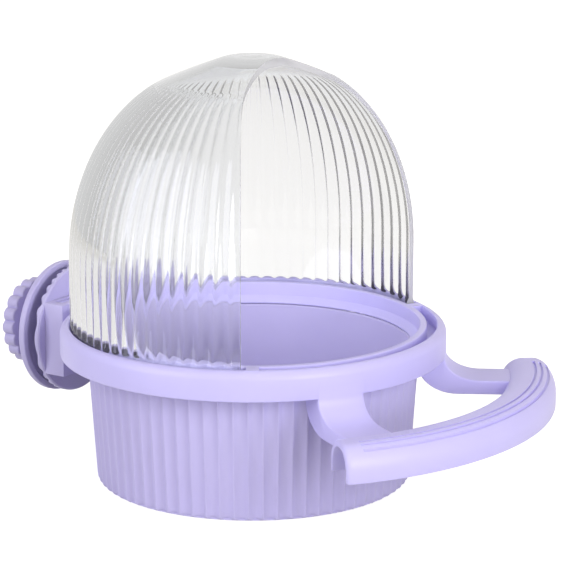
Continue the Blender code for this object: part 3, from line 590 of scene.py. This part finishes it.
def cup_room():
    """Room for the cup under the ring."""
    base = CUP_BASE + GAP
    profile = [(0.0, FLANGE_BOTTOM), (CUP_TOP + GAP, FLANGE_BOTTOM), (base, CUP_ROUNDING), (0.0, 0.0)]
    return spun(profile, RING_STEPS, closed=False)


def build_ring(plastic):
    """Band, straps, lugs, perch and tongue in one moulding, cut by the cup's room and the grip grooves."""
    shapes = [arm_shape(-1), arm_shape(1), lug_shape(-1), lug_shape(1), perch_shape()] + tongue_shapes()
    bm = combined(band_shape(), shapes, "UNION")
    cuts = [cup_room()] + [grip_shape(i) for i in range(GRIP_LINES)]
    bm = combined(bm, cuts, "DIFFERENCE")
    finish_piece("perch_ring_moulding", bm, PERCH_TURN, plastic, "feeder",
                 ["perch_ring"], sharp=radians(35))


def arc_from(point, radius, start, end, steps):
    """Arc of a circle that starts at a point of the section."""
    centre = (point[0] - radius * cos(start), point[1] - radius * sin(start))
    return arc(centre, (radius, radius), start, end, steps)


def hood_outside():
    """Skin of the hood from its foot to its apex, with a low rounded disc left by the mould's gate."""
    points = [(0.0, HOOD_FOOT), (HOOD_RADIUS - EDGE, HOOD_FOOT), (HOOD_RADIUS, HOOD_FOOT + EDGE)]
    points += [(HOOD_RADIUS, BAND_TOP), (HOOD_RADIUS, BAND_TOP + FLUTE_RUN_OUT / 2)]
    points += [(HOOD_RADIUS, BAND_TOP + FLUTE_RUN_OUT)]
    points += arc((HOOD_RADIUS - SHOULDER_REACH, HOOD_SPRING), (SHOULDER_REACH, SHOULDER_RISE), 0.0,
                  SHOULDER_TURN, SHOULDER_STEPS)
    points += arc_from(points[-1], ROOF_RADIUS, ROOF_START, ROOF_END, ROOF_STEPS)[1:]
    points += arc_from(points[-1], CROWN_RADIUS, ROOF_END, pi / 2, steps=6)[1:]
    top = points[-1][1]
    for step in range(APEX_STEPS + 1):
        inward = step / APEX_STEPS
        points.append((APEX_DISC * (1 - inward / 4), top + APEX_RISE * (1 - cos(pi * inward)) / 2))
    return points + [(0.0, top + APEX_RISE)]


def hood_inside(top):
    """Room in the hood: thick crown, thin sides, and a foot that fills the groove."""
    inner, foot = HOOD_RADIUS - HOOD_WALL, HOOD_RADIUS - HOOD_FOOT_WALL
    points = [(0.0, HOOD_FOOT - MM), (foot, HOOD_FOOT - MM), (foot, BAND_TOP)]
    points += [(inner, BAND_TOP + 2 * (inner - foot))]
    points += arc((HOOD_RADIUS - SHOULDER_REACH, HOOD_SPRING),
                  (SHOULDER_REACH - HOOD_WALL, SHOULDER_RISE - HOOD_WALL), 0.0, SHOULDER_TURN,
                  SHOULDER_STEPS)
    # The roof sinks from the thin wall at the shoulder to the thick one at the crown
    low = top - HOOD_CROWN_WALL
    roof = arc_from(points[-1], ROOF_RADIUS, ROOF_START, ROOF_END, ROOF_STEPS)[1:]
    sag = roof[-1][1] - low
    points += [(r, z - sag * (i + 1) / ROOF_STEPS) for i, (r, z) in enumerate(roof)]
    return points + [(HOOD_CROWN_REACH, low), (0.0, low)]


def mouth_shape(top):
    """Plan of the mouth, a wide wedge with a rounded tip, taken right through the hood."""
    plan = arc((MOUTH_CENTRE, 0.0), (MOUTH_TIP_RADIUS, MOUTH_TIP_RADIUS), pi - MOUTH_SLOPE,
               pi + MOUTH_SLOPE, MOUTH_TIP_STEPS)
    far = HOOD_RADIUS * 1.1
    forward = plan[0][0] + (far - plan[0][1]) * tan(MOUTH_SLOPE)
    plan += [(forward, -far), (2 * far, -far), (2 * far, far), (forward, far)]
    return prism([(x, y, HOOD_FOOT - EDGE) for x, y in plan], (0, 0, top + MM - HOOD_FOOT))


def build_hood(clear, edge):
    """Clear dome, fluted outside and smooth inside, with the mouth's cut faces in the rim's material."""
    outside = hood_outside()
    top = outside[-1][1]
    bm = spun(outside, HOOD_FLUTES * FLUTE_COLUMNS, closed=False)

    def share(radius, height):
        """Flute's share of its full depth: it fades in above the band and out towards the crown."""
        rise = max(0.0, min(1.0, (radius - FLUTE_TOP_RADIUS) / FLUTE_FADE))
        if height < HOOD_SPRING - MM:
            rise = max(0.0, min(1.0, (height - BAND_TOP) / FLUTE_RUN_OUT))
        return rise * rise * (3 - 2 * rise)

    flute(bm, HOOD_FLUTES, HOOD_FLUTE_DEPTH, 0.0, share)
    room = spun(hood_inside(top - APEX_RISE), HOOD_FLUTES * FLUTE_COLUMNS, closed=False)
    bm = combined(bm, [room, mouth_shape(top)], "DIFFERENCE")
    # The mouth's cut faces are the upright ones that lie well inside the skirt or don't face outwards
    for face in bm.faces:
        centre, normal = face.calc_center_median(), face.normal
        radius = hypot(centre.x, centre.y)
        outward = (centre.x * normal.x + centre.y * normal.y) / radius
        upright = abs(normal.z) < 0.01
        if upright and (radius < 0.7 * HOOD_RADIUS or abs(outward) < 0.6):
            face.material_index = 1
    hood = finish_piece("hood_dome", bm, PERCH_TURN, clear, "hood", ["hood"],
                        sharp=radians(40))
    hood.data.materials.append(edge)


def wire_groove(place):
    """Upright rounded groove that a cage wire settles into."""
    middle = place * WIRE_GROOVE_PITCH
    points = [(middle - WIRE_GROOVE_HALF, MM), (middle + WIRE_GROOVE_HALF, MM)]
    for step in range(WIRE_GROOVE_STEPS + 1):
        turn = pi * step / WIRE_GROOVE_STEPS
        points.append((middle + WIRE_GROOVE_HALF * cos(turn), -WIRE_GROOVE_DEPTH * sin(turn) ** 2))
    return prism([(x, -PLATE_RADIUS - MM, z) for x, z in points], (0, 2 * PLATE_RADIUS + 2 * MM, 0))


def build_plate(plastic):
    """Grooved plate and its socket. In this frame +Z runs back along the bolt and -Y is up."""
    profile = [(0.0, 0.0), (PLATE_RADIUS - EDGE / 2, 0.0), (PLATE_RADIUS, -EDGE / 2)]
    profile += [(PLATE_RADIUS, EDGE - PLATE_THICKNESS), (PLATE_RADIUS - EDGE, -PLATE_THICKNESS)]
    profile += [(0.0, -PLATE_THICKNESS)]
    bm = spun(profile, PLATE_STEPS, closed=False)
    half_width, half_height = SOCKET_WIDTH / 2, SOCKET_HEIGHT / 2
    socket = soften(block((-half_width, -half_height, SOCKET_FRONT),
                          (half_width, half_height, -PLATE_THICKNESS / 2)), EDGE)
    bm = combined(bm, [socket], "UNION")
    head_low = SOCKET_FRONT + SOCKET_FRONT_WALL
    head_high = head_low + TONGUE_DEPTH + 2 * GAP
    half_head = half_width - SOCKET_SIDE
    floor = half_height - SOCKET_FLOOR
    half_neck = NECK_WIDTH / 2 + GAP
    cuts = [block((-half_head, -half_height - MM, head_low), (half_head, floor, head_high)),
            block((-half_neck, -half_height - MM, SOCKET_FRONT - MM), (half_neck, floor, head_low + GAP)),
            rod(BOLT_HEAD + GAP, head_high - GAP, bolt_low[1] + BOLT_HEAD_HEIGHT + GAP, HEAD_STEPS),
            block((-BOLT_RADIUS - GAP, -BOLT_RADIUS - GAP, head_high),
                  (BOLT_RADIUS + GAP, BOLT_RADIUS + GAP, MM))]
    cuts += [wire_groove(index - (WIRE_GROOVES - 1) / 2) for index in range(WIRE_GROOVES)]
    bm = combined(bm, cuts, "DIFFERENCE")
    finish_piece("grooved_plate", bm, CLAMP_TURN, plastic, "mount",
                 ["mount_plate"], sharp=radians(38))


def build_bolt(steel):
    """Low-headed bolt with a square neck and a real helical thread."""
    front, tip = bolt_low[1], bolt_high[1]
    head_back = front + BOLT_HEAD_HEIGHT
    root = BOLT_RADIUS - THREAD_DEPTH
    profile = [(0.0, front)]
    profile += arc((BOLT_HEAD - BOLT_HEAD_ROUNDING, front + BOLT_HEAD_ROUNDING),
                   (BOLT_HEAD_ROUNDING, BOLT_HEAD_ROUNDING), -pi / 2, 0.0, steps=5)
    profile += [(BOLT_HEAD, head_back), (root, head_back)]
    profile += [(root, tip - MM / 2), (root - MM / 2, tip), (0.0, tip)]
    core = spun(profile, BORE_STEPS, closed=False)
    neck = block((-BOLT_RADIUS, -BOLT_RADIUS, head_back - MM / 2), (BOLT_RADIUS, BOLT_RADIUS, -GAP))
    turns = int((tip - THREAD_RUN_OUT - GAP) / THREAD_PITCH)
    half = THREAD_HALF_WIDTH
    thread = bmesh.new()
    section = [(root - GAP, -half), (root - GAP, half), (BOLT_RADIUS, half / 5), (BOLT_RADIUS, -half / 5)]
    verts = [thread.verts.new((r, 0.0, GAP + half + z)) for r, z in section]
    edges = [thread.edges.new((verts[i], verts[(i + 1) % 4])) for i in range(4)]
    bmesh.ops.spin(thread, geom=verts + edges, cent=(0, 0, 0), axis=(0, 0, 1),
                   dvec=(0, 0, THREAD_PITCH / THREAD_STEPS), angle=2 * pi * turns,
                   steps=THREAD_STEPS * turns)
    bmesh.ops.edgeloop_fill(thread, edges=[e for e in thread.edges if e.is_boundary])
    bmesh.ops.recalc_face_normals(thread, faces=thread.faces)
    bm = combined(core, [neck, thread], "UNION")
    finish_piece("carriage_bolt", bm, CLAMP_TURN, steel, "mount",
                 ["clamp_bolt"], sharp=radians(30))


def build_nut(steel):
    """Hexagon nut with chamfered corners."""
    corner = NUT_FLATS / 2 / cos(pi / 6)
    low, high = nut_low[1], nut_high[1]
    bm = rod(corner, low, high, sides=6)
    cone = [(0.0, low - MM), (NUT_FACE, low), (corner + MM, low + MM), (corner + MM, high - MM)]
    cone += [(NUT_FACE, high), (0.0, high + MM)]
    bm = combined(bm, [spun(cone, HEAD_STEPS, closed=False)], "INTERSECT")
    bm = combined(bm, [rod(BOLT_RADIUS + GAP, low - MM, high + MM, BORE_STEPS)], "DIFFERENCE")
    finish_piece("hexagon_nut", bm, CLAMP_TURN, steel, "knob", ["knob_nut"],
                 sharp=radians(30))


def build_dish(plastic):
    """Dished disc with a rounded rim towards the wires and a flat back for the knob."""
    front, back = dish_low[1], dish_high[1]
    web_front = front + DISH_RECESS
    rim_back = front + DISH_RIM_DEPTH
    bore = BOLT_RADIUS + GAP
    round_back, round_front = DISH_RIM_DEPTH / 3, DISH_RIM_DEPTH / 6
    profile = [(bore, back), (DISH_RADIUS - DISH_RIM - DISH_RECESS, back)]
    profile += arc((DISH_RADIUS - round_back, rim_back - round_back), (round_back, round_back),
                   pi / 2, 0, steps=6)
    profile += arc((DISH_RADIUS - round_front, front + round_front), (round_front, round_front),
                   0, -pi / 2, steps=4)
    profile += [(DISH_RADIUS - DISH_RIM + EDGE, front), (DISH_RADIUS - DISH_RIM, front + EDGE)]
    profile += [(DISH_RADIUS - DISH_RIM - DISH_RECESS / 2, web_front), (bore, web_front)]
    bm = spun(profile, DISH_STEPS)
    finish_piece("wire_dish", bm, CLAMP_TURN, plastic, "dish", ["clamp_dish"],
                 sharp=radians(35))


def lobe_reach(turn):
    """Radius of the knob's scalloped edge at an angle."""
    middle = KNOB_RADIUS - LOBE_RADIUS
    pitch = 2 * pi / KNOB_LOBES
    off = turn - pitch * round(turn / pitch)
    return middle * cos(off) + sqrt(max(0.0, LOBE_RADIUS ** 2 - (middle * sin(off)) ** 2))


def build_knob(plastic):
    """Scalloped knob on a ribbed hub, with a hexagon pocket for the nut."""
    front, high = knob_low[1], knob_high[1]
    low = high - KNOB_THICKNESS
    face = KNOB_RADIUS - KNOB_FACE_MARGIN
    round_edge = (KNOB_CHAMFER, KNOB_CHAMFER)
    profile = [(0.0, high), (face, high)]
    profile += arc((KNOB_RADIUS - KNOB_CHAMFER, high - KNOB_CHAMFER), round_edge, pi / 2, 0.0, steps=4)
    profile += arc((KNOB_RADIUS - KNOB_CHAMFER, low + KNOB_CHAMFER), round_edge, 0.0, -pi / 2, steps=4)
    profile += [(face, low), (0.0, low)]
    bm = spun(profile, KNOB_LOBES * LOBE_COLUMNS, closed=False)
    for vert in bm.verts:
        radius = hypot(vert.co.x, vert.co.y)
        if radius > face + MM:
            turn = atan2(vert.co.y, vert.co.x)
            reach = radius - KNOB_RADIUS + lobe_reach(turn)
            vert.co.x, vert.co.y = reach * cos(turn), reach * sin(turn)
    parts = [rod(HUB_RADIUS, front, low + GAP, HUB_STEPS)]
    for index in range(HUB_RIBS // 2):
        reach, half = HUB_RADIUS + HUB_RIB_HEIGHT, HUB_RIB_WIDTH / 2
        rib = soften(block((-reach, -half, front + HUB_RIB_WIDTH), (reach, half, low + GAP)), EDGE / 2)
        bmesh.ops.rotate(rib, cent=(0, 0, 0), verts=rib.verts,
                         matrix=Matrix.Rotation(2 * pi * index / HUB_RIBS, 3, "Z"))
        parts.append(rib)
    bm = combined(bm, parts, "UNION")
    pocket = (NUT_FLATS + 2 * GAP) / 2 / cos(pi / 6)
    cuts = [rod(pocket, front + NUT_LEDGE, high + MM, sides=6),
            rod(BOLT_RADIUS + GAP, front - MM, high, BORE_STEPS)]
    bm = combined(bm, cuts, "DIFFERENCE")
    finish_piece("scalloped_knob", bm, CLAMP_TURN, plastic, "knob", ["knob"],
                 sharp=radians(35))


def build_floor():
    """Pale floor under the cup, white to the camera and keeping the soft shadow."""
    bm = bmesh.new()
    bmesh.ops.create_grid(bm, x_segments=1, y_segments=1, size=FLOOR_SIZE)
    bmesh.ops.translate(bm, vec=CUP_AXIS - Vector((0, 0, FLOOR_DROP)), verts=bm.verts)
    floor = mesh_object("studio_floor", bm)
    material, tree, output = new_material("pale_floor")
    path = add_node(tree, "ShaderNodeLightPath").outputs
    mirrored = add_node(tree, "ShaderNodeMath", {"operation": "MAXIMUM"},
                        {0: path["Is Glossy Ray"], 1: path["Is Transmission Ray"]})
    seen = add_node(tree, "ShaderNodeMath", {"operation": "MAXIMUM"},
                    {0: path["Is Camera Ray"], 1: mirrored.outputs[0]})
    matt = add_node(tree, "ShaderNodeBsdfDiffuse", {}, {"Color": linear("#CBCAC8")})
    bright = add_node(tree, "ShaderNodeMapRange", {}, {"Value": path["Is Camera Ray"],
                                                       "To Min": 0.7, "To Max": 0.82})
    lift = add_node(tree, "ShaderNodeEmission", {}, {"Color": (1, 1, 1, 1),
                                                     "Strength": bright.outputs["Result"]})
    both = add_node(tree, "ShaderNodeAddShader")
    tree.links.new(matt.outputs[0], both.inputs[0])
    tree.links.new(lift.outputs[0], both.inputs[1])
    mix = add_node(tree, "ShaderNodeMixShader", {}, {"Fac": seen.outputs[0]})
    tree.links.new(matt.outputs[0], mix.inputs[1])
    tree.links.new(both.outputs[0], mix.inputs[2])
    tree.links.new(mix.outputs[0], output.inputs["Surface"])
    floor.data.materials.append(material)


def aim(thing, place, target):
    """Place a lamp or the camera and turn it to a point."""
    thing.location = place
    thing.rotation_euler = (Vector(target) - Vector(place)).to_track_quat("-Z", "Y").to_euler()


def build_lights():
    """Three round soft lamps: one from the front right, one from the left and one from above."""
    centre = CUP_AXIS + Vector((0, -50 * MM, 20 * MM))
    for name, azimuth, elevation, reach, size, power, tint in (
            ("key", -24, 18, 0.65, 0.45, 2.9, "#F4F5FF"), ("left", -116, 22, 1.2, 1.1, 8.0, "#EBEDFF"),
            ("top", 60, 80, 1.3, 1.0, 1.5, "#FFFFFF")):
        lamp = bpy.data.objects.new(name, bpy.data.lights.new(name, "AREA"))
        lamp.data.shape = "DISK"
        lamp.data.size = size
        lamp.data.energy = power
        lamp.data.color = linear(tint)[:3]
        turn, rise = radians(azimuth), radians(elevation)
        way = Vector((sin(turn) * cos(rise), -cos(turn) * cos(rise), sin(rise)))
        aim(lamp, centre + way * reach, centre)
        bpy.context.scene.collection.objects.link(lamp)


def build_world():
    """Soft warm light all round; the studio is white to the camera, and white to pale grey in gloss."""
    world = bpy.data.worlds.new("studio")
    bpy.context.scene.world = world
    world.use_nodes = True
    tree = world.node_tree
    tree.nodes.clear()
    path = add_node(tree, "ShaderNodeLightPath").outputs
    light = add_node(tree, "ShaderNodeBackground", {}, {"Color": linear("#FFF9EA"), "Strength": 0.42})
    white = add_node(tree, "ShaderNodeBackground", {}, {"Color": (1, 1, 1, 1), "Strength": 1.0})
    # The backdrop is whitest behind the feeder and greyer to its sides, which streaks the clear hood
    way = add_node(tree, "ShaderNodeTexCoord").outputs["Generated"]
    facing = add_node(tree, "ShaderNodeVectorMath", {"operation": "DOT_PRODUCT"},
                      {0: way, 1: BEHIND_FEEDER})
    shade = add_node(tree, "ShaderNodeMapRange", {}, {"Value": facing.outputs["Value"], "From Min": 0.2,
                                                      "From Max": 0.95, "To Min": 0.78, "To Max": 1.0})
    graded = add_node(tree, "ShaderNodeBackground", {}, {"Color": (1, 1, 1, 1),
                                                         "Strength": shade.outputs["Result"]})
    mirrored = add_node(tree, "ShaderNodeMath", {"operation": "MAXIMUM"},
                        {0: path["Is Glossy Ray"], 1: path["Is Transmission Ray"]})
    lit = add_node(tree, "ShaderNodeMixShader", {}, {"Fac": mirrored.outputs[0]})
    tree.links.new(light.outputs[0], lit.inputs[1])
    tree.links.new(graded.outputs[0], lit.inputs[2])
    mix = add_node(tree, "ShaderNodeMixShader", {}, {"Fac": path["Is Camera Ray"]})
    tree.links.new(lit.outputs[0], mix.inputs[1])
    tree.links.new(white.outputs[0], mix.inputs[2])
    output = add_node(tree, "ShaderNodeOutputWorld")
    tree.links.new(mix.outputs[0], output.inputs["Surface"])


def build_camera():
    """Long lens, turned to the left of the perch and looking a little down, as in the photograph."""
    azimuth, pitch = radians(-56.5), radians(13.65)
    reach, height, aside = 680.6 * MM, 217.1 * MM, 9.4 * MM
    camera = bpy.data.objects.new("camera", bpy.data.cameras.new("camera"))
    camera.data.lens = 162.5
    camera.data.sensor_width = 36.0
    camera.data.clip_start = 0.01
    place = CUP_AXIS + Vector((sin(azimuth) * reach, -cos(azimuth) * reach, height))
    place += Vector((cos(azimuth), sin(azimuth), 0.0)) * aside
    look = Vector((-sin(azimuth) * cos(pitch), cos(azimuth) * cos(pitch), -sin(pitch)))
    aim(camera, place, place + look)
    bpy.context.scene.collection.objects.link(camera)
    bpy.context.scene.camera = camera


lavender_band = moulded_polypropylene("ring_polypropylene", "#D1CAFA", "#CDC6F7", 0.25)
# Painted shade: the cup takes a darker, greyer copy of the ring's lavender, standing in for the shade
# under the band
shaded_lavender_cup = moulded_polypropylene("cup_polypropylene_painted_shade", "#C9C2E8", "#C5BEE5", 0.25)
# Painted shade: the plate, dish and knob take a still darker copy of the ring's lavender, standing in for
# the shade behind the ring and hood
shaded_lavender_clamp = moulded_polypropylene("clamp_polypropylene_painted_shade", "#C5BEE5", "#C1BAE2", 0.3)
clear = clear_polystyrene("hood_polystyrene")
clear_edge = trimmed_polystyrene("hood_edge_polystyrene")
zinc = zinc_plated_steel("zinc_steel")

build_cup(shaded_lavender_cup)
build_ring(lavender_band)
build_hood(clear, clear_edge)
build_plate(shaded_lavender_clamp)
build_bolt(zinc)
build_dish(shaded_lavender_clamp)
build_knob(shaded_lavender_clamp)
build_nut(zinc)
build_floor()
build_lights()
build_world()
build_camera()

bpy.context.scene.view_settings.view_transform = "Standard"
